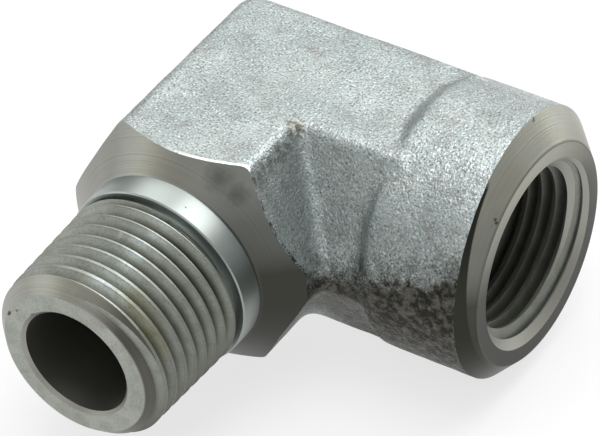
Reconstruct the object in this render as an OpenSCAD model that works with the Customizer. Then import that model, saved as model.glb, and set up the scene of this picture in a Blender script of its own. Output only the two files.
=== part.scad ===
// Street elbow adapter, 3/8-18 taper pipe thread, male end to female socket at 90 degrees.
// Millimetres, +Z up. The origin is where the two port axes cross.
// The male end points along -Y and the socket opens along +X. The piece lies on its side,
// so that two flats of the forged hexagon are level.

/* [Reach] */
// Centre to the face of the male end
male_reach = 31; // [27:0.25:36]
// Centre to the face of the socket
socket_reach = 26.95; // [25:0.05:32]
// Centre to the foot of the neck, where the turned shoulder starts
leg_len = 16.05; // [15:0.05:18]

/* [Forged hexagon] */
// Across the two level flats of both legs
flat_gap = 22.1; // [21.4:0.1:23.4]
// Across the sloping flats of both legs
side_gap = 22.4; // [21.8:0.1:23.4]
// Across the lands where the flash was trimmed off
land_gap = 24.3; // [23.6:0.1:24.9]
// Sideways shift of the socket leg and its collar in the forging die
die_shift = 0.65; // [0:0.05:0.9]
// Radius along the edges of the level flats
edge_r = 1; // [0.4:0.1:1.6]
// Radius along the edges of the trimmed lands
land_r = 0.4; // [0.2:0.1:0.6]
// Radius of the web in the inner corner
web_r = 1.4; // [0.8:0.1:3]
// Radius of the hip on the outer corner
hip_r = 2; // [0.8:0.1:3]

/* [Male end] */
// Crest diameter of the taper thread at its small end
crest_d = 16.67; // [16.2:0.01:17.2]
// Growth of the crest diameter for each millimetre of length
taper = 0.0625; // [0.03:0.0005:0.08]
// Diameter of the flat ring on the male face
nose_d = 14.24; // [13.2:0.02:15]
// Width of the relief groove
relief_w = 0.55; // [0.4:0.05:1]
// Diameter at the root of the relief groove
relief_d = 15.8; // [15:0.1:16.4]
// Diameter of the plain neck
neck_d = 17.85; // [17.4:0.05:19]
// Length of the plain neck
neck_len = 2.5; // [1.5:0.1:3.2]
// Angle between the turned shoulder and the axis
shoulder_angle = 50.7; // [40:0.1:62]
// Diameter that the shoulder tool sweeps
swept_d = 27.7; // [26.6:0.1:29]
// Bore of the male end
bore_d = 10.3; // [9:0.1:11.5]
// How far the bore runs past the centre at its full diameter
bore_over = 3; // [1:0.1:4]
// Chamfer at the mouth of the bore
mouth_chamfer = 0.45; // [0.2:0.05:0.8]

/* [Socket] */
// Diameter of the round collar
collar_d = 24.76; // [24:0.02:26]
// Full length of the collar, from the socket face
collar_len = 10.45; // [9:0.05:11.5]
// Diameter at which the forged lead starts, under the flats
lead_d = 20.1; // [18:0.1:21]
// Angle between the forged lead up to the collar and the axis
lead_angle = 41; // [30:1:55]
// Outer diameter of the flat ring on the socket face
ring_d = 20.46; // [19.4:0.02:21.4]
// Angle between the turned outer chamfer and the axis
rim_angle = 46.4; // [38:0.2:56]
// Diameter of the countersink at the socket face
sink_d = 17.56; // [17:0.02:18.4]
// Thread drilling of the socket
drill_d = 14.68; // [14:0.02:15.4]
// Depth of the thread drilling
drill_depth = 17; // [14:0.25:18]
// Passage from the socket to the centre
passage_d = 10; // [8:0.1:10.2]
// How far the passage runs past the centre at its full diameter
passage_over = 3; // [2.6:0.1:4]

/* [Hidden] */
$fn = 96;
steps = 5;
big = 60;

// The six flats stand 60 degrees apart, so the sloping ones face 30 degrees above level.
slope = 30;
flat_h = flat_gap / 2;
land_w = land_gap / 2;
function slope_x(z) = (side_gap / 2 - z * sin(slope)) / cos(slope);
land_h = (side_gap / 2 - land_w * cos(slope)) / sin(slope);

// The line where two sloping flats meet leans over by fold_lean, and each flat lies fold_half
// to the side of the plane through that line.
fold_lean = atan(sqrt(2) * tan(slope));
fold_half = 90 - acos(sqrt((1 + pow(sin(slope), 2)) / 2));
function level_run(r) = r / tan(fold_half) / sqrt(1 - pow(sin(fold_lean), 2) / 2);

// Stations along the male axis, measured from the centre
relief_in = leg_len + neck_len;
relief_out = relief_in + relief_w;
crest_r = crest_d / 2;
function crest(at) = crest_r + (male_reach - at) * taper / 2;
// The end chamfer stands at 45 degrees and stops where it meets the taper.
nose_len = (crest_r - nose_d / 2) / (1 - taper / 2);

// Stations along the socket axis, measured from the centre
collar_at = socket_reach - collar_len;
lead_len = (collar_d - lead_d) / 2 / tan(lead_angle);
behind = land_w * 1.25;
drill_end = socket_reach - drill_depth;
point_angle = 59;

// Arc that rounds the corner b between its neighbours a and c
function round_corner(a, b, c, r) =
    let (u = (a - b) / norm(a - b), v = (c - b) / norm(c - b))
    let (half = acos(u * v) / 2, o = b + (u + v) / norm(u + v) * r / sin(half))
    let (s = b + u * r / tan(half) - o, e = b + v * r / tan(half) - o)
    let (s0 = atan2(s.y, s.x), turn = (atan2(e.y, e.x) - s0 + 540) % 360 - 180)
    [for (i = [0:steps]) o + r * [cos(s0 + turn * i / steps), sin(s0 + turn * i / steps)]];

// Concave or convex arc across a fold of half angle h whose tip is at the origin
function fold_arc(h, r) =
    [for (i = [0:steps]) let (q = (90 - h) * (1 - 2 * i / steps))
        [r / sin(h) - r * cos(q), r * sin(q)]];

// Section of a forged leg: a hexagon with rounded edges and its two side corners trimmed
module leg_section() {
    p = [[slope_x(flat_h), flat_h], [land_w, land_h], [land_w, -land_h],
         [slope_x(flat_h), -flat_h], [-slope_x(flat_h), -flat_h], [-land_w, -land_h],
         [-land_w, land_h], [-slope_x(flat_h), flat_h]];
    r = [edge_r, land_r, land_r, edge_r, edge_r, land_r, land_r, edge_r];
    polygon([for (i = [0:7]) each round_corner(p[(i + 7) % 8], p[i], p[(i + 1) % 8], r[i])]);
}

// Local z runs out of the male end
module along_male() { rotate([90, 0, 0]) children(); }

// Local z runs out of the socket
module along_socket() { rotate([90, 0, 90]) children(); }

// Everything on one side of the upright plane in which the two legs meet
module mitre_side(side) {
    translate([die_shift, 0, 0])
        rotate([0, 0, 45])
            translate([(side - 1) * big, -big / 2, -big / 2])
                cube([big, big, big]);
}

// Leg of the male end
module male_leg() {
    intersection() {
        along_male()
            translate([0, 0, -behind])
                linear_extrude(height = leg_len + behind) leg_section();
        mitre_side(0);
    }
}

// What the turning tool takes off round the neck, as far out as it sweeps
module shoulder_cut() {
    along_male()
        rotate_extrude()
            polygon([[neck_d / 2, leg_len],
                     [swept_d / 2, leg_len - (swept_d - neck_d) / 2 / tan(shoulder_angle)],
                     [swept_d / 2, leg_len + neck_len],
                     [neck_d / 2, leg_len + neck_len]]);
}

// Leg of the socket, run out at its corners where the collar takes over
module socket_leg() {
    difference() {
        intersection() {
            translate([0, die_shift, 0])
                along_socket()
                    translate([0, 0, -behind])
                        linear_extrude(height = collar_at + behind) leg_section();
            mitre_side(1);
        }
        translate([0, die_shift, 0])
            along_socket()
                rotate_extrude()
                    polygon([[collar_d / 2, collar_at],
                             [collar_d / 2 + edge_r, collar_at - edge_r],
                             [collar_d, collar_at - edge_r],
                             [collar_d, collar_at + edge_r],
                             [collar_d / 2, collar_at + edge_r]]);
    }
}

// Round collar with its forged lead, trimmed along the same two lands as the legs
module collar() {
    intersection() {
        translate([0, die_shift, 0])
            along_socket()
                rotate_extrude()
                    polygon([[0, drill_end],
                             [lead_d / 2, drill_end],
                             [lead_d / 2, collar_at - lead_len],
                             [collar_d / 2, collar_at],
                             [collar_d / 2, socket_reach],
                             [0, socket_reach]]);
        translate([0, die_shift - land_w, -big / 2]) cube([big, 2 * land_w, big]);
    }
}

// Web that fills the inner corner with a radius, above and below the lands
module inner_web() {
    for (m = [0, 1])
        mirror([0, 0, m])
            intersection() {
                translate([slope_x(0), die_shift - slope_x(0), 0])
                    rotate([0, -fold_lean, -45])
                        linear_extrude(height = big)
                            polygon(concat([[-1, 0]], fold_arc(fold_half, web_r)));
                translate([0, -big, land_h]) cube([big, big, flat_h - land_h]);
            }
    translate([land_w, die_shift - land_w, -land_h])
        rotate([0, 0, -45])
            linear_extrude(height = 2 * land_h)
                polygon(concat([[-1, 0]], fold_arc(45, level_run(web_r))));
}

// What the hip radius takes off the outer corner, above and below the lands
module hip_cut() {
    for (m = [0, 1])
        mirror([0, 0, m])
            intersection() {
                translate([-slope_x(0), die_shift + slope_x(0), 0])
                    rotate([0, -fold_lean, 135])
                        linear_extrude(height = big) hip_sliver(fold_half, hip_r);
                translate([-big, 0, land_h]) cube([big, big, big]);
            }
    translate([-land_w, die_shift + land_w, -land_h])
        rotate([0, 0, 135])
            linear_extrude(height = 2 * land_h) hip_sliver(45, level_run(hip_r));
}

// Sliver outside an arc that rounds a convex edge of half angle h
module hip_sliver(h, r) {
    arc = [for (p = fold_arc(h, r)) [-p.x, p.y]];
    out = 2 * [sin(h), cos(h)];
    polygon(concat([arc[0] + out], arc, [arc[steps] + [out.x, -out.y]]));
}

// Neck, relief groove and the taper that carries the thread crests
module male_end() {
    along_male()
        rotate_extrude()
            polygon([[0, leg_len - neck_len],
                     [neck_d / 2, leg_len - neck_len],
                     [neck_d / 2, relief_in],
                     [relief_d / 2, relief_in],
                     [relief_d / 2, relief_out],
                     [crest(relief_out), relief_out],
                     [crest(male_reach - nose_len), male_reach - nose_len],
                     [nose_d / 2, male_reach],
                     [0, male_reach]]);
}

// Bore of the male end, drilled past the centre
module male_bore() {
    r = bore_d / 2;
    along_male()
        rotate_extrude()
            polygon([[0, -bore_over - r / tan(point_angle)],
                     [r, -bore_over],
                     [r, male_reach - mouth_chamfer],
                     [r + mouth_chamfer, male_reach],
                     [r + mouth_chamfer, male_reach + 1],
                     [0, male_reach + 1]]);
}

// Thread drilling of the socket with its countersink and the passage to the centre
module socket_bore() {
    r = drill_d / 2;
    along_socket()
        rotate_extrude()
            polygon([[0, -passage_over - passage_d / 2 / tan(point_angle)],
                     [passage_d / 2, -passage_over],
                     [passage_d / 2, drill_end - (r - passage_d / 2) / tan(point_angle)],
                     [r, drill_end],
                     [r, socket_reach - (sink_d / 2 - r)],
                     [sink_d / 2, socket_reach],
                     [sink_d / 2, socket_reach + 1],
                     [0, socket_reach + 1]]);
}

// What the outer chamfer takes off the collar; it is turned true to the socket, not the collar
module rim_cut() {
    reach = (collar_d - ring_d) / 2 + die_shift;
    along_socket()
        rotate_extrude()
            polygon([[ring_d / 2, socket_reach],
                     [ring_d / 2 + reach * tan(rim_angle), socket_reach - reach],
                     [collar_d, socket_reach - reach],
                     [collar_d, socket_reach + reach],
                     [ring_d / 2, socket_reach + reach]]);
}

module elbow_body() {
    color("silver")
        difference() {
            union() {
                difference() {
                    union() {
                        male_leg();
                        socket_leg();
                        inner_web();
                    }
                    hip_cut();
                    shoulder_cut();
                }
                difference() {
                    collar();
                    rim_cut();
                }
                male_end();
            }
            male_bore();
            socket_bore();
        }
}

elbow_body();
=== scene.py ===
# %% [markdown]
# # Street elbow, forged and zinc plated
# The real part starts as a hot forging with a hexagonal arm to each port. It is then blasted,
# held in a chuck and turned: a neck, a tapered thread and a bore on one arm, a chamfered and
# tapped socket in the other. A thin coat of zinc goes on last. The script follows that order,
# because the edges that catch the eye are the ones where a tool cut through the rough skin.
# The solid model is loaded first. It sets the size, and the dressed piece stays inside it.

# %% Load the frame
import math

import bmesh
import bpy
from mathutils import Matrix, Vector, noise


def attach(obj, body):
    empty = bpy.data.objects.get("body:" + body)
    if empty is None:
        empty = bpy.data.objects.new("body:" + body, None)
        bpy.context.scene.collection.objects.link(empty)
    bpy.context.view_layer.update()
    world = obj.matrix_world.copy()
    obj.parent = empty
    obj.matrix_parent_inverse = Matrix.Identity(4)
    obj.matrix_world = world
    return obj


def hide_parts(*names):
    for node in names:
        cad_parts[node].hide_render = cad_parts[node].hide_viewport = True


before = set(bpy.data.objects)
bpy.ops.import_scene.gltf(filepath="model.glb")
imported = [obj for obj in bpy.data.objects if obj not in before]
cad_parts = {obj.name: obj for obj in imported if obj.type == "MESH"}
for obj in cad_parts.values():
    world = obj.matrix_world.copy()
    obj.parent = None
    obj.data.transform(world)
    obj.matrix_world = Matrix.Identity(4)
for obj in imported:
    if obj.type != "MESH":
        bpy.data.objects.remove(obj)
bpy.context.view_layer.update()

MM = 0.001


def srgb(code):
    """Turns a hex colour as seen on a screen into the linear colour that shaders use."""
    parts = [int(code[i:i + 2], 16) / 255 for i in (1, 3, 5)]
    return [c / 12.92 if c <= 0.04045 else ((c + 0.055) / 1.055) ** 2.4 for c in parts] + [1.0]


# %% [markdown]
# ## Camera
# The picture was taken from a little over a third of a metre away with a long lens, from above
# and in front of the inner corner. The camera stands there, and its slight roll is kept,
# because the real piece leans a little on its round collar while the model lies level.

# %% Camera
azimuth, elevation, roll = (math.radians(a) for a in (-54.678, 40.949, -4.052))
toward = Vector((math.cos(elevation) * math.cos(azimuth),
                 math.cos(elevation) * math.sin(azimuth), math.sin(elevation)))
level = (-toward).cross(Vector((0, 0, 1))).normalized()
upright = level.cross(-toward)
right = level * math.cos(roll) + upright * math.sin(roll)
up = upright * math.cos(roll) - level * math.sin(roll)
place = toward * 363.831 + right * 3.413 - up * 6.110

camera = bpy.data.objects.new("camera", bpy.data.cameras.new("camera"))
bpy.context.scene.collection.objects.link(camera)
turn = Matrix((right, up, toward)).transposed().to_4x4()
camera.matrix_world = Matrix.Translation(place * MM) @ turn
camera.data.sensor_width = 36
camera.data.lens = 4109.025 * 36 / 600
camera.data.shift_x = (300 - 313.778) / 600
camera.data.shift_y = (224.696 - 218) / 600
camera.data.clip_start = 0.01
camera.data.clip_end = 10
bpy.context.scene.camera = camera
print("camera stands", round(place.length), "mm away, lens", round(camera.data.lens), "mm")


# %% [markdown]
# ## Sizes
# All sizes are in millimetres and are those of the solid model. Distances along a port are
# measured from the point where the two port axes cross. The thread is 3/8-18 taper pipe:
# 18 turns to the inch, 60 degree flanks and a taper of 1 in 16 on the diameter.

# %% Sizes
FLAT = 22.1 / 2
SIDE = 22.4 / 2
LAND = 24.3 / 2
SHIFT = 0.65
NECK = 17.85 / 2
SHOULDER_AT, RELIEF_IN, RELIEF_OUT, MALE_FACE = 16.05, 18.55, 19.1, 31.0
NOSE = 14.24 / 2
BORE = 10.3 / 2
SOCKET_FACE = 26.95
COLLAR = 24.76 / 2
COLLAR_AT = 16.5
RING = 20.46 / 2
SINK = 17.56 / 2
DRILL, DRILL_END = 14.68 / 2, 9.95
PASSAGE = 5.0
PITCH = 25.4 / 18
TAPER = 1 / 32
CREST = 16.67 / 2

# %% [markdown]
# ## One piece, four finishes
# The elbow is one piece of steel, so it stays one mesh. Each cut leaves its own finish on the
# faces that it makes, so the four finishes are made first and every tool carries all of them.

# %% Finishes by name
FORGED, TURNED, THREAD, BORED = 0, 1, 2, 3
finishes = [bpy.data.materials.new(name) for name in (
    "forged steel, blasted and zinc plated", "turned steel, zinc plated",
    "cut thread, zinc plated", "drilled steel, thin zinc")]

# %% [markdown]
# ## Helpers for shaping
# A shape is drawn in its own bmesh and stored as a mesh object in metres. A turned shape is a
# short profile of radius and distance, spun about its port's axis. Merging after the spin
# closes the seam, and recalculating the normals makes the faces point outwards.

# %% Helpers for shaping
ALONG_MALE = Matrix(((1, 0, 0), (0, 0, -1), (0, 1, 0))).to_4x4()
ALONG_SOCKET = Matrix(((0, 0, 1), (1, 0, 0), (0, 1, 0))).to_4x4()


def stored(bm, name):
    """Stores a bmesh drawn in millimetres as an object in metres."""
    bmesh.ops.scale(bm, vec=(MM, MM, MM), verts=bm.verts)
    mesh = bpy.data.meshes.new(name)
    for finish in finishes:
        mesh.materials.append(finish)
    bm.to_mesh(mesh)
    bm.free()
    obj = bpy.data.objects.new(name, mesh)
    bpy.context.scene.collection.objects.link(obj)
    return obj


def profile_edges(bm, points):
    """Draws a profile of (radius, distance) as a chain of edges in the x-z plane."""
    verts = [bmesh.ops.create_vert(bm, co=(r, 0, z))["vert"][0] for r, z in points]
    for a, b in zip(verts, verts[1:]):
        bmesh.ops.contextual_create(bm, geom=[a, b])
    return verts


def turned(name, points, frame_turn, finish, steps=160, shift=(0, 0, 0)):
    """Spins a profile that starts and ends on the axis into a closed solid."""
    bm = bmesh.new()
    profile_edges(bm, points)
    bmesh.ops.spin(bm, geom=bm.verts[:] + bm.edges[:], cent=(0, 0, 0), axis=(0, 0, 1),
                   angle=math.tau, steps=steps, use_merge=True)
    bmesh.ops.remove_doubles(bm, verts=bm.verts, dist=1e-4)
    bmesh.ops.transform(bm, matrix=Matrix.Translation(shift) @ frame_turn, verts=bm.verts)
    bmesh.ops.recalc_face_normals(bm, faces=bm.faces)
    for f in bm.faces:
        f.material_index = finish
    return stored(bm, name)


def combine(target, tool, operation):
    """Cuts the tool away from the target, or welds it on, and drops the tool."""
    mod = target.modifiers.new(operation, "BOOLEAN")
    mod.object = tool
    mod.operation = operation
    mod.solver = "EXACT"
    baked = bpy.data.meshes.new_from_object(
        target.evaluated_get(bpy.context.evaluated_depsgraph_get()))
    target.modifiers.clear()
    old, target.data = target.data, baked
    bpy.data.meshes.remove(old)
    bpy.data.objects.remove(tool)
    print(operation, "gives", len(baked.polygons), "faces")


# %% [markdown]
# ## The forging
# The two arms share one hexagonal section and meet in a mitre, like a picture frame. One arm
# is extruded, cut on the slant, and the cut face is extruded on into the other arm, so that
# both meet exactly. The web in the inner corner, the hip on the outer one and the soft edges
# round the level flats are bevels. The die halves were a little out of line: the socket arm
# sits 0.65 mm to one side, and the flash was trimmed to a narrow land all round.

# %% The forging's arms
arms = bmesh.new()
section = bmesh.ops.create_circle(arms, cap_ends=True, segments=6,
                                  radius=SIDE / math.cos(math.radians(30)))
bmesh.ops.rotate(arms, matrix=Matrix.Rotation(math.radians(30), 3, "Z"), verts=arms.verts)
bmesh.ops.transform(arms, matrix=ALONG_MALE, verts=arms.verts)
bmesh.ops.translate(arms, vec=(0, -SHOULDER_AT - 1, 0), verts=arms.verts)
grown = bmesh.ops.extrude_face_region(arms, geom=arms.faces[:])
bmesh.ops.translate(arms, vec=(0, 37, 0),
                    verts=[g for g in grown["geom"] if isinstance(g, bmesh.types.BMVert)])


def trim(bm, point, normal):
    """Cuts off what lies on the normal's side of a plane and closes the cut."""
    cut = bmesh.ops.bisect_plane(bm, geom=bm.verts[:] + bm.edges[:] + bm.faces[:], dist=1e-5,
                                 plane_co=point, plane_no=normal, clear_outer=True)
    edges = [g for g in cut["geom_cut"] if isinstance(g, bmesh.types.BMEdge)]
    return bmesh.ops.contextual_create(bm, geom=edges)["faces"]


for sign in (1, -1):
    trim(arms, (0, 0, sign * FLAT), (0, 0, sign))
    trim(arms, (sign * LAND, 0, 0), (sign, 0, 0))
mitre = trim(arms, (SHIFT, 0, 0), (1, 1, 0))
grown = bmesh.ops.extrude_face_region(arms, geom=mitre)
bmesh.ops.delete(arms, geom=[f for f in mitre if f.is_valid], context="FACES_ONLY")
bmesh.ops.translate(arms, vec=(40, 0, 0),
                    verts=[g for g in grown["geom"] if isinstance(g, bmesh.types.BMVert)])
trim(arms, (COLLAR_AT + 1, 0, 0), (1, 0, 0))
bmesh.ops.recalc_face_normals(arms, faces=arms.faces)
print("arms have", len(arms.faces), "faces")


def middle(edge):
    return (edge.verts[0].co + edge.verts[1].co) / 2


def on_mitre(edge):
    return all(abs(v.co.x + v.co.y - SHIFT) < 0.01 for v in edge.verts)


def rounded_edges(bm, edges, offset, segments):
    bmesh.ops.bevel(bm, geom=edges, offset=offset, offset_type="OFFSET", segments=segments,
                    profile=0.5, affect="EDGES", material=-1, clamp_overlap=True)


# %% The web, the hip and the soft edges
seam = [e for e in arms.edges if on_mitre(e) and abs(middle(e).z) < FLAT - 0.01]
rounded_edges(arms, [e for e in seam if middle(e).x > 0], 1.1, 5)
rounded_edges(arms, [e for e in arms.edges
                     if on_mitre(e) and abs(middle(e).z) < FLAT - 0.01 and middle(e).x < 0],
              1.6, 6)


def borders_flat(edge):
    level = [abs(f.normal.z) > 0.99 for f in edge.link_faces]
    return len(level) == 2 and sum(level) == 1


rounded_edges(arms, [e for e in arms.edges if borders_flat(e)], 0.58, 4)
elbow = stored(arms, "elbow")
print("rounded arms have", len(elbow.data.polygons), "faces")

# %% The collar
collar = turned("collar", [(0, 10), (10.05, 10), (10.05, COLLAR_AT - 2.68), (COLLAR, COLLAR_AT),
                           (COLLAR, SOCKET_FACE + 0.8), (0, SOCKET_FACE + 0.8)],
                ALONG_SOCKET, FORGED, shift=(0, SHIFT, 0))
combine(elbow, collar, "UNION")

# %% [markdown]
# ## Forged skin
# A forging has no sharp lines: scale and blasting round every edge and leave a faint swell.
# A voxel remesh turns the block into an even net of small quads, a little smoothing softens
# what was sharp, and a slow noise moves the net by a few hundredths of a millimetre.

# %% Forged skin
VOXEL = 0.34
remesh = elbow.modifiers.new("skin", "REMESH")
remesh.mode = "VOXEL"
remesh.voxel_size = VOXEL * MM
smooth = elbow.modifiers.new("soften", "SMOOTH")
smooth.factor = 0.5
smooth.iterations = 5
skin = bpy.data.meshes.new_from_object(
    elbow.evaluated_get(bpy.context.evaluated_depsgraph_get()))
elbow.modifiers.clear()
elbow.data = skin
for v, n in [(v, v.normal.copy()) for v in skin.vertices]:
    p = v.co / MM
    swell = 0.05 * noise.noise(p / 4.5) + 0.025 * noise.noise(p / 1.1)
    v.co += n * (swell - 0.04) * MM
print("skin has", len(skin.polygons), "quads")

# %% [markdown]
# ## Turning
# Each cut is the shape of what the tool took away, spun about the port's axis. Where the
# conical shoulder runs through the flats of the hexagon it leaves the curved scallops that
# every turned hexagon has. The socket's rim is chamfered true to its bore, not to the forged
# collar, so the chamfer is wider on one side.

# %% Shoulder and rim
swept = 13.9
slant = 1 / math.tan(math.radians(50.7))
core = NECK - 0.05
root = SHOULDER_AT + 0.05 * slant
shoulder = turned("shoulder", [(core, root), (swept, SHOULDER_AT - (swept - NECK) * slant),
                               (swept, 20), (core, 20), (core, root)],
                  ALONG_MALE, TURNED)
combine(elbow, shoulder, "DIFFERENCE")

reach = 5
rim = turned("rim", [(RING, SOCKET_FACE),
                     (RING + reach * 1.05, SOCKET_FACE - reach),
                     (20, SOCKET_FACE - reach), (20, SOCKET_FACE + 2),
                     (0, SOCKET_FACE + 2), (0, SOCKET_FACE), (RING, SOCKET_FACE)],
             ALONG_SOCKET, TURNED)
combine(elbow, rim, "DIFFERENCE")

# %% [markdown]
# ## Male thread
# The thread is a sloping ridge that climbs one pitch each turn. One tooth is drawn as a short
# profile and spun with a lift of one pitch a turn, which sweeps the whole screw. Then every
# point is pulled in or out by the taper, and the ends are cut square and closed.

# %% The screw shape


def screw(name, crest, root, start, end, tip, finish, steps=96):
    """A closed tapered screw. crest(z) gives the crest radius at a distance z."""
    bm = bmesh.new()
    flat = tip * PITCH
    low = crest(0) - root
    half = (PITCH - 2 * flat) / 2
    profile_edges(bm, [(low, 0), (low, flat), (crest(0), flat + half),
                       (crest(0), 2 * flat + half), (low, PITCH)])
    turns = math.ceil((end - start) / PITCH) + 3
    bmesh.ops.spin(bm, geom=bm.verts[:] + bm.edges[:], cent=(0, 0, 0), axis=(0, 0, 1),
                   dvec=(0, 0, PITCH / steps), angle=math.tau * turns, steps=steps * turns,
                   use_merge=False)
    bmesh.ops.remove_doubles(bm, verts=bm.verts, dist=1e-3)
    bmesh.ops.translate(bm, vec=(0, 0, start - 2 * PITCH), verts=bm.verts)
    for v in bm.verts:
        grow = crest(v.co.z) - crest(0)
        out = Vector((v.co.x, v.co.y, 0))
        v.co += out.normalized() * grow
    for z, n in ((start, -1), (end, 1)):
        trim(bm, (0, 0, z), (0, 0, n))
    bmesh.ops.recalc_face_normals(bm, faces=bm.faces)
    for f in bm.faces:
        f.material_index = finish
    return bm


def male_crest(z):
    return CREST + (MALE_FACE - z) * TAPER


def full_crest(z):
    """Where sharp crests would lie: the die bites less and less towards the nose."""
    return male_crest(z) + 0.06 + 0.2 * max(0.0, (z - 20) / 11) ** 1.4


male = screw("male thread", full_crest, 1.0, 18.9, MALE_FACE, 0.03, THREAD)
bmesh.ops.transform(male, matrix=ALONG_MALE, verts=male.verts)
threaded = stored(male, "male thread")
blank = turned("blank", [(0, 18.8), (male_crest(18.8), 18.8), (male_crest(MALE_FACE + 0.1),
                         MALE_FACE + 0.1), (0, MALE_FACE + 0.1)], ALONG_MALE, THREAD)
combine(threaded, blank, "INTERSECT")

# %% Nose chamfer, relief and neck
nose = turned("nose", [(NOSE, MALE_FACE), (NOSE + 3, MALE_FACE - 3), (14, MALE_FACE - 3),
                       (14, MALE_FACE + 1), (NOSE, MALE_FACE + 1), (NOSE, MALE_FACE)],
              ALONG_MALE, TURNED)
combine(threaded, nose, "DIFFERENCE")
neck = turned("neck", [(0, SHOULDER_AT - 3), (NECK, SHOULDER_AT - 3), (NECK, RELIEF_IN - 0.12),
                       (NECK - 0.12, RELIEF_IN), (7.9, RELIEF_IN), (7.9, RELIEF_OUT),
                       (0, RELIEF_OUT)], ALONG_MALE, TURNED)
combine(threaded, neck, "UNION")
combine(elbow, threaded, "UNION")

# %% [markdown]
# ## Bores and the socket's thread
# The drills come next, then the tap. The tap is the same screw shape, larger, and it is cut
# away from the drilled wall, so the thread's own crests are what the drill left.

# %% Bores
male_bore = turned("male bore", [(0, -6.1), (BORE, -3), (BORE, MALE_FACE - 0.3),
                                 (BORE + 0.3, MALE_FACE), (BORE + 0.3, MALE_FACE + 1),
                                 (0, MALE_FACE + 1)], ALONG_MALE, BORED)
combine(elbow, male_bore, "DIFFERENCE")
socket_bore = turned("socket bore", [(0, -3), (PASSAGE, 0), (PASSAGE, DRILL_END - 1.41),
                                     (DRILL, DRILL_END), (DRILL, SOCKET_FACE - SINK + DRILL),
                                     (SINK, SOCKET_FACE), (SINK, SOCKET_FACE + 1),
                                     (0, SOCKET_FACE + 1)], ALONG_SOCKET, BORED)
combine(elbow, socket_bore, "DIFFERENCE")


def tap_crest(z):
    return 8.53 - (SOCKET_FACE - z) * TAPER


tap = screw("tap", tap_crest, 1.25, 12.92, SOCKET_FACE + 1.5, 0.09, THREAD)
bmesh.ops.transform(tap, matrix=ALONG_SOCKET, verts=tap.verts)
combine(elbow, stored(tap, "tap"), "DIFFERENCE")

# %% [markdown]
# ## Finishes
# Zinc is a bluish white metal. On the blasted skin it is dull and full of tiny glints, because
# every dimple has its own slant. On turned metal the same coat is smoother, and shows the fine
# rings that the tool left. Both start from a metal with a grey-white colour.

# %% Helpers for materials


def add(tree, kind, links=None, **settings):
    """Adds one node, sets its properties or sockets, and links its inputs."""
    node = tree.nodes.new(kind)
    for key, value in settings.items():
        if hasattr(node, key):
            setattr(node, key, value)
        else:
            node.inputs[key.replace("_", " ")].default_value = value
    for socket, source in (links or {}).items():
        tree.links.new(source, node.inputs[socket])
    return node


def open_shader(material):
    """Switches a material to nodes and gives its tree and its main shader."""
    material.use_nodes = True
    return material.node_tree, material.node_tree.nodes["Principled BSDF"]


def values(tree, kind, links, **settings):
    """Adds a node and gives its first output."""
    return add(tree, kind, links, **settings).outputs[0]


def maths(tree, operation, first, second=None, clamp=False):
    """Adds one sum; each input is another node's output or a plain number."""
    node = tree.nodes.new("ShaderNodeMath")
    node.operation = operation
    node.use_clamp = clamp
    for i, value in enumerate((first, second)):
        if isinstance(value, (int, float)):
            node.inputs[i].default_value = value
        elif value is not None:
            tree.links.new(value, node.inputs[i])
    return node.outputs[0]


def ramp(tree, value, low, high, bottom=0.0, top=1.0):
    """Maps low..high to bottom..top and holds it there beyond both ends."""
    return values(tree, "ShaderNodeMapRange", {"Value": value}, From_Min=low, From_Max=high,
                  To_Min=bottom, To_Max=top)


def blend(tree, amount, under, over):
    """Mixes two colours, each a hex code or another node's output."""
    node = tree.nodes.new("ShaderNodeMix")
    node.data_type = "RGBA"
    tree.links.new(amount, node.inputs["Factor"])
    for name, colour in (("A", under), ("B", over)):
        socket = [i for i in node.inputs if i.name == name and i.type == "RGBA"][0]
        if isinstance(colour, str):
            socket.default_value = srgb(colour)
        else:
            tree.links.new(colour, socket)
    return [o for o in node.outputs if o.type == "RGBA"][0]


def cloud(tree, where, size, detail=2.0, roughness=0.5):
    """Noise whose features are about size millimetres across."""
    return values(tree, "ShaderNodeTexNoise", {"Vector": where}, Scale=1 / (size * MM),
                  Detail=detail, Roughness=roughness)


def place(tree):
    """The point's position, with its three parts in millimetres."""
    where = add(tree, "ShaderNodeTexCoord").outputs["Object"]
    parts = add(tree, "ShaderNodeSeparateXYZ", {"Vector": where})
    return [where] + [maths(tree, "DIVIDE", parts.outputs[i], MM) for i in range(3)]


def spots(tree, where, points, ragged=1.2, core=0.5):
    """Spots, each given as x, y, z and radius in millimetres. ragged shakes their outline."""
    wobble = add(tree, "ShaderNodeTexNoise", {"Vector": where}, Scale=1 / (0.5 * MM))
    shaken = values(tree, "ShaderNodeVectorMath", {0: where, 1: values(
        tree, "ShaderNodeVectorMath", {0: wobble.outputs["Color"]}, operation="SCALE",
        Scale=ragged * MM)}, operation="ADD")
    half = ragged / 2
    total = None
    for x, y, z, radius in points:
        node = tree.nodes.new("ShaderNodeVectorMath")
        node.operation = "DISTANCE"
        tree.links.new(shaken, node.inputs[0])
        node.inputs[1].default_value = ((x + half) * MM, (y + half) * MM, (z + half) * MM)
        spot = ramp(tree, node.outputs["Value"], radius * MM, radius * core * MM)
        total = spot if total is None else maths(tree, "MAXIMUM", total, spot)
    return total


def spread(a, b):
    """Distance from an axis, given the two coordinates across it."""
    return maths(tree, "SQRT", maths(tree, "ADD", maths(tree, "POWER", a, 2.0),
                                     maths(tree, "POWER", b, 2.0)))


def darker_below(tree, z, high, low, most):
    """Painted shade that grows from none at the height high to the share most at low."""
    return ramp(tree, z, high, low, 0.0, most)
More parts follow.
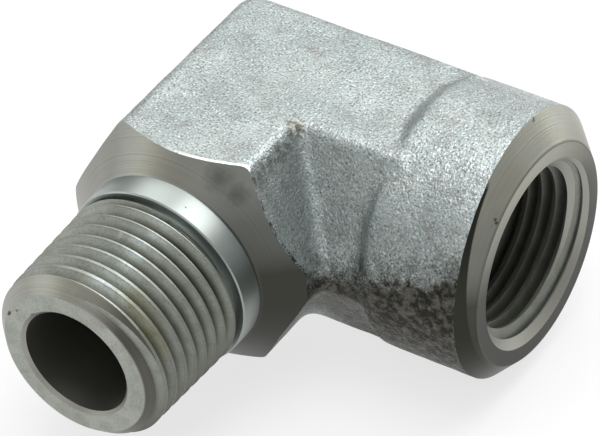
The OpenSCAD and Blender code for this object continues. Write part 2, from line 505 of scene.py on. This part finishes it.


# %% [markdown]
# The blasted skin gets its glint from two nets of fine dimples. Its colour wanders a little
# between bluish and plain grey. Painted shade darkens the skin low down on the near side and
# along the crease of the inner corner, a painted highlight runs along the lip of the shoulder
# cut, and rust sits where the arms' top flats meet.

# %% Blasted zinc skin
tree, shader = open_shader(finishes[FORGED])
shader.inputs["Metallic"].default_value = 1.0
where, x, y, z = place(tree)
grain = cloud(tree, where, 0.2, 2.0, 0.6)
coarse = cloud(tree, where, 0.55, 2.0, 0.5)
broad = cloud(tree, where, 4.0, 3.0)
zinc = blend(tree, ramp(tree, broad, 0.35, 0.65), "#9CA5A4", "#AEB6B4")
zinc = blend(tree, ramp(tree, grain, 0.56, 0.68), zinc, "#CFD6D5")
zinc = blend(tree, ramp(tree, grain, 0.46, 0.34), zinc, "#7A8182")
mottle = cloud(tree, where, 1.3, 5.0, 0.65)
stain = cloud(tree, where, 1.7, 4.0, 0.6)
zinc = blend(tree, ramp(tree, stain, 0.5, 0.75, 0.0, 0.45), zinc, "#77716A")
# Painted shade along the crease of the inner corner.
crease_shade = maths(tree, "ABSOLUTE", maths(tree, "SUBTRACT", maths(tree, "ADD", x, y), 0.35))
crease_shade = maths(tree, "MULTIPLY", ramp(tree, crease_shade, 1.3, 0.2, 0.0, 0.5), ramp(tree, x, 6.2, 7.4))
zinc = blend(tree, crease_shade, zinc, "#667174")
# Painted shade: the skin darkens low down and on the near side, with a mottled edge.
level = maths(tree, "ADD", maths(tree, "SUBTRACT", z, ramp(tree, x, 14.0, 25.0, 0.0, 4.2)),
              maths(tree, "MULTIPLY", maths(tree, "SUBTRACT", mottle, 0.5), 7.0))
low = ramp(tree, maths(tree, "ADD", level, maths(tree, "MULTIPLY", grain, 2.5)), 4.2, 1.0)
underside_shade = blend(tree, ramp(tree, cloud(tree, where, 0.7, 4.0, 0.7), 0.42, 0.62), "#2A2925", "#5E5D56")
near = ramp(tree, maths(tree, "SUBTRACT", x, y), 13.0, 19.0, 0.12, 1.0)
zinc = blend(tree, maths(tree, "MULTIPLY", low, near), zinc, underside_shade)
rust = spots(tree, where, [(6.8, -6.1, 10.8, 1.3)], ragged=0.8, core=0.2)
rust = maths(tree, "MULTIPLY", rust, ramp(tree, coarse, 0.4, 0.6))
zinc = blend(tree, rust, zinc, "#625A44")
rim = maths(tree, "MULTIPLY", ramp(tree, maths(tree, "ABSOLUTE", maths(tree, "SUBTRACT", x, 7.0)),
                                   0.8, 0.2), ramp(tree, y, -5.9, -6.3))
rim = maths(tree, "MULTIPLY", maths(tree, "MULTIPLY", rim, ramp(tree, z, 8.5, 9.3)),
            ramp(tree, coarse, 0.42, 0.56, 0.0, 0.5))
zinc = blend(tree, rim, zinc, "#4F4E45")
to_cone = maths(tree, "SUBTRACT", spread(x, z), maths(tree, "MULTIPLY", 1.222,
                maths(tree, "ADD", y, 16.05 + NECK / 1.222)))
lip = maths(tree, "MULTIPLY", ramp(tree, to_cone, -0.42, -0.3), ramp(tree, y, -12.0, -12.4))
# Painted highlight: a near-white line along the lip of the shoulder cut on top of the arm.
lip_highlight = maths(tree, "MULTIPLY", ramp(tree, x, 6.75, 6.55), ramp(tree, x, -1.6, 3.0))
lip_highlight = maths(tree, "MULTIPLY", lip_highlight, ramp(tree, z, 9.7, 10.0))
zinc = blend(tree, maths(tree, "MULTIPLY", lip, lip_highlight), zinc, "#FAFAF6")
torn = maths(tree, "MULTIPLY", maths(tree, "MULTIPLY", lip, ramp(tree, x, 6.9, 7.3)),
             ramp(tree, cloud(tree, where, 0.9, 4.0, 0.8), 0.48, 0.56, 0.0, 0.9))
zinc = blend(tree, torn, zinc, "#2B2A25")
tree.links.new(zinc, shader.inputs["Base Color"])
shine = ramp(tree, grain, 0.35, 0.65, 0.55, 0.36)
tree.links.new(shine, shader.inputs["Roughness"])
height = maths(tree, "ADD", grain, maths(tree, "MULTIPLY", coarse, 0.9))
dimples = add(tree, "ShaderNodeBump", {"Height": height}, Strength=1.0, Distance=0.07 * MM)
tree.links.new(dimples.outputs["Normal"], shader.inputs["Normal"])

# %% [markdown]
# The turned metal is yellower than the skin. The tool left rings a tenth of a millimetre
# apart. A dark band of painted shade runs round the near side of the socket's rim. More painted
# shade darkens one side of the shoulder cone, the corner at its root, the lower near side, one
# side of the nose chamfer and the bottom of the socket.

# %% Turned zinc
tree, shader = open_shader(finishes[TURNED])
shader.inputs["Metallic"].default_value = 1.0
where, x, y, z = place(tree)
broad = cloud(tree, where, 3.5, 2.0)
zinc = blend(tree, ramp(tree, broad, 0.35, 0.65), "#A6A598", "#A9ABA3")
on_socket = ramp(tree, x, 20.0, 20.1)
on_neck = maths(tree, "MULTIPLY", ramp(tree, y, -15.9, -16.1), ramp(tree, y, -19.5, -19.0))
zinc = blend(tree, on_neck, zinc, "#ADB5B2")


turn_r = maths(tree, "ADD", maths(tree, "MULTIPLY", on_socket, spread(y, z)),
               maths(tree, "MULTIPLY", maths(tree, "SUBTRACT", 1.0, on_socket), spread(x, z)))
rings = add(tree, "ShaderNodeTexNoise", {"W": turn_r}, noise_dimensions="1D", Scale=7.0,
            Detail=3.0, Roughness=0.7).outputs["Fac"]
zinc = blend(tree, ramp(tree, rings, 0.35, 0.75, 0.0, 0.35), zinc, "#7E7D74")
# Painted shade: a dark band round the near side of the socket's rim.
off = spread(maths(tree, "SUBTRACT", y, 0.76), maths(tree, "SUBTRACT", z, 0.79))
rim_shade_band = maths(tree, "MULTIPLY", ramp(tree, off, 11.5, 11.58),
             maths(tree, "MULTIPLY", ramp(tree, x, 23.0, 23.1), ramp(tree, y, -4.7, -5.4)))
zinc = blend(tree, rim_shade_band, zinc, "#34342F")
# Painted shade on the shoulder cone, strongest towards one side and a little towards the other.
cone_shade = maths(tree, "MULTIPLY", maths(tree, "MAXIMUM", ramp(tree, x, -2.5, 5.5, 0.0, 0.62),
                                     ramp(tree, x, -3.0, -6.0, 0.0, 0.3)),
             maths(tree, "MULTIPLY", ramp(tree, y, -12.0, -12.5), ramp(tree, y, -16.1, -16.0)))
zinc = blend(tree, cone_shade, zinc, "#656A6B")
smudge = spots(tree, where, [(4.4, -14.4, 10.0, 1.7), (6.2, -14.4, 8.9, 1.3)], ragged=0.9, core=0.1)
zinc = blend(tree, maths(tree, "MULTIPLY", smudge, 0.5), zinc, "#2F3134")
# Painted shade in the corner where the shoulder cone meets the neck.
root_shade = ramp(tree, maths(tree, "ABSOLUTE", maths(tree, "ADD", y, 16.05)), 0.14, 0.05)
root_shade = maths(tree, "MULTIPLY", root_shade, ramp(tree, x, 2.0, 6.0, 0.0, 0.8))
zinc = blend(tree, root_shade, zinc, "#2A2A26")
# Painted shade: darker low down on the near side, less on the neck and towards the nose.
low_shade = maths(tree, "MULTIPLY", darker_below(tree, z, 9.5, 2.0, 0.92),
             ramp(tree, maths(tree, "SUBTRACT", x, y), 13.0, 19.0, 0.1, 1.0))
low_shade = maths(tree, "MULTIPLY", low_shade, maths(tree, "SUBTRACT", 1.0,
                                           maths(tree, "MULTIPLY", on_neck, 0.75)))
zinc = blend(tree, maths(tree, "MULTIPLY", low_shade, ramp(tree, y, -21.0, -20.0, 0.25, 1.0)),
             zinc, "#34342E")
# Painted shade on one side of the nose chamfer.
nose_shade = maths(tree, "MULTIPLY", ramp(tree, y, -27.0, -27.5), ramp(tree, y, -30.98, -30.9))
nose_shade = maths(tree, "MULTIPLY", nose_shade, ramp(tree, x, 0.5, 5.0, 0.0, 0.75))
zinc = blend(tree, nose_shade, zinc, "#3A3A34")
# Painted shade: the socket's face and chamfer darken towards the bottom.
socket_shade = maths(tree, "MULTIPLY", ramp(tree, x, 26.9, 26.94), ramp(tree, z, 5.0, -2.0, 0.1, 0.7))
socket_shade = maths(tree, "MAXIMUM", socket_shade, maths(tree, "MULTIPLY", on_socket,
                                          ramp(tree, z, 1.0, -6.0, 0.0, 0.7)))
zinc = blend(tree, socket_shade, zinc, "#282824")
edge = maths(tree, "ABSOLUTE", maths(tree, "SUBTRACT", turn_r, 10.2))
edge = maths(tree, "MULTIPLY", ramp(tree, edge, 0.13, 0.05, 0.0, 0.6), on_socket)
zinc = blend(tree, edge, zinc, "#4C4B44")
marks = spots(tree, where, [(26.7, -6.3, 8.4, 0.3), (24.9, 3.1, 12.0, 0.3),
                            (2.9, -17.4, 8.4, 0.16), (3.4, -18.0, 8.2, 0.14)])
zinc = blend(tree, marks, zinc, "#55554F")
tree.links.new(zinc, shader.inputs["Base Color"])
shader.inputs["Roughness"].default_value = 0.36
lathe = add(tree, "ShaderNodeBump", {"Height": rings}, Strength=0.6, Distance=0.02 * MM)
tree.links.new(lathe.outputs["Normal"], shader.inputs["Normal"])

# %% Thread and bore
tree, shader = open_shader(finishes[THREAD])
shader.inputs["Metallic"].default_value = 1.0
where, x, y, z = place(tree)
zinc = blend(tree, ramp(tree, cloud(tree, where, 1.6, 3.0), 0.35, 0.65), "#9FA299", "#AEB2AA")
oil = spots(tree, where, [(4.6, -27.9, 6.5, 1.5), (5.6, -28.2, 5.7, 1.6), (6.6, -28.5, 4.6, 1.7),
                          (7.3, -28.6, 3.2, 1.5)], ragged=0.4, core=0.1)
zinc = blend(tree, maths(tree, "MULTIPLY", oil, 0.55), zinc, "#97936A")
radius = spread(x, z)
depth = maths(tree, "SUBTRACT", maths(tree, "ADD", CREST + MALE_FACE * TAPER,
                                      maths(tree, "MULTIPLY", y, TAPER)), radius)
on_thread = maths(tree, "MULTIPLY", ramp(tree, y, -14.0, -15.0), ramp(tree, y, -30.97, -30.9))
# Painted shade in the thread's grooves, fading towards the nose and one side.
groove_shade = maths(tree, "MULTIPLY", ramp(tree, depth, 0.4, 0.85), on_thread)
groove_shade = maths(tree, "MULTIPLY", groove_shade, maths(tree, "MULTIPLY", ramp(tree, y, -29.0, -20.5, 0.4, 0.9),
                                           ramp(tree, x, -4.0, 5.0, 0.5, 1.0)))
zinc = blend(tree, groove_shade, zinc, "#3C3C36")
# Painted shade: the thread darkens low down.
low_shade = maths(tree, "MULTIPLY", darker_below(tree, z, 7.0, -5.0, 0.7), on_thread)
# Painted sheen: a pale band along the upper crests of the thread.
crest_sheen = ramp(tree, maths(tree, "ABSOLUTE", maths(tree, "SUBTRACT", x, 2.0)), 2.6, 0.4)
crest_sheen = maths(tree, "MULTIPLY", crest_sheen, ramp(tree, depth, 0.5, 0.2))
crest_sheen = maths(tree, "MULTIPLY", maths(tree, "MULTIPLY", crest_sheen, on_thread), ramp(tree, z, 0.0, 1.0))
crest_sheen = maths(tree, "MULTIPLY", crest_sheen, ramp(tree, cloud(tree, where, 1.5, 3.0), 0.35, 0.6, 0.2, 0.8))
zinc = blend(tree, crest_sheen, zinc, "#D3DCDC")
# Painted shade: the crests are darkened a little to damp their highlight.
crest = maths(tree, "MULTIPLY", ramp(tree, depth, 0.12, 0.05, 0.0, 0.25), on_thread)
zinc = blend(tree, crest, zinc, "#6C6E66")
# Painted shade: the low part of the thread and the whole tap thread inside the socket are darkened.
zinc = blend(tree, maths(tree, "MAXIMUM", low_shade, ramp(tree, x, 14.0, 15.0, 0.0, 0.4)), zinc,
             "#44443C")
grit = cloud(tree, where, 0.22, 3.0, 0.7)
zinc = blend(tree, ramp(tree, grit, 0.5, 0.68, 0.0, 0.4), zinc, "#66685F")
pits = spots(tree, where, [(-6.4, -31.0, 3.0, 0.3), (-5.5, -31.0, 3.6, 0.3), (-3.7, -31.0, 3.9, 0.22)],
             ragged=0.8)
zinc = blend(tree, pits, zinc, "#55554F")
tree.links.new(zinc, shader.inputs["Base Color"])
shader.inputs["Roughness"].default_value = 0.55
gritty = add(tree, "ShaderNodeBump", {"Height": grit}, Strength=0.7, Distance=0.02 * MM)
tree.links.new(gritty.outputs["Normal"], shader.inputs["Normal"])

tree, shader = open_shader(finishes[BORED])
shader.inputs["Metallic"].default_value = 1.0
shader.inputs["Base Color"].default_value = srgb("#9A9A92")
shader.inputs["Roughness"].default_value = 0.45

elbow.data.shade_smooth()
elbow.data.set_sharp_from_angle(angle=math.radians(38))

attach(elbow, "root")
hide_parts("elbow_body")

# %% [markdown]
# ## Floor and light
# The piece was shot on a white sweep. A broad lamp above and behind it makes the bright band
# on the neck, and the white floor fills the underside.

# %% Floor
bm = bmesh.new()
bmesh.ops.create_grid(bm, x_segments=1, y_segments=1, size=2000)
bmesh.ops.translate(bm, vec=(0, 0, -12.45), verts=bm.verts)
floor = stored(bm, "floor")
floor.data.materials.clear()
white = bpy.data.materials.new("white paper sweep")
tree, shader = open_shader(white)
shader.inputs["Base Color"].default_value = srgb("#E8E8E8")
shader.inputs["Roughness"].default_value = 0.9
path = add(tree, "ShaderNodeLightPath")
seen = maths(tree, "MAXIMUM", path.outputs["Is Camera Ray"],
             maths(tree, "MAXIMUM", path.outputs["Is Glossy Ray"],
                   path.outputs["Is Transmission Ray"]))
glow = add(tree, "ShaderNodeEmission", Strength=1.0)
paper = add(tree, "ShaderNodeMixShader",
            {0: maths(tree, "MULTIPLY", seen, 0.72), 1: shader.outputs[0], 2: glow.outputs[0]})
tree.links.new(paper.outputs[0], tree.nodes["Material Output"].inputs["Surface"])
floor.data.materials.append(white)

# %% Lights


def softbox(name, direction, distance, size, watts):
    lamp = bpy.data.lights.new(name, "AREA")
    lamp.shape = "RECTANGLE"
    lamp.size, lamp.size_y = size
    lamp.energy = watts
    obj = bpy.data.objects.new(name, lamp)
    bpy.context.scene.collection.objects.link(obj)
    way = Vector(direction).normalized()
    obj.matrix_world = (Matrix.Translation(way * distance)
                        @ way.to_track_quat("Z", "Y").to_matrix().to_4x4())
    return obj


for name, direction, size, watts in (
        ("key, behind on the left", (-0.5, 0.55, 0.67), 0.35, 0.6),
        ("strip behind", (0.25, 0.62, 0.75), 0.35, 1.3),
        ("overhead", (0, 0, 1), 0.35, 1.7),
        ("low on the left", (-0.8, -0.4, 0.35), 0.35, 0.36),
        ("low behind", (0.1, 0.95, 0.3), 0.35, 1.2),
        ("low in front", (0.2, -0.9, 0.3), 0.35, 0.13),
        ("over the camera", (0.1, -0.5, 0.85), 0.35, 0.5)):
    softbox(name, direction, 0.6, (size, size), watts)
world = bpy.data.worlds.new("studio")
bpy.context.scene.world = world
world.use_nodes = True
background = world.node_tree.nodes["Background"]
background.inputs["Color"].default_value = (1, 1, 1, 1)
background.inputs["Strength"].default_value = 0.5

bpy.context.scene.view_settings.view_transform = "Standard"
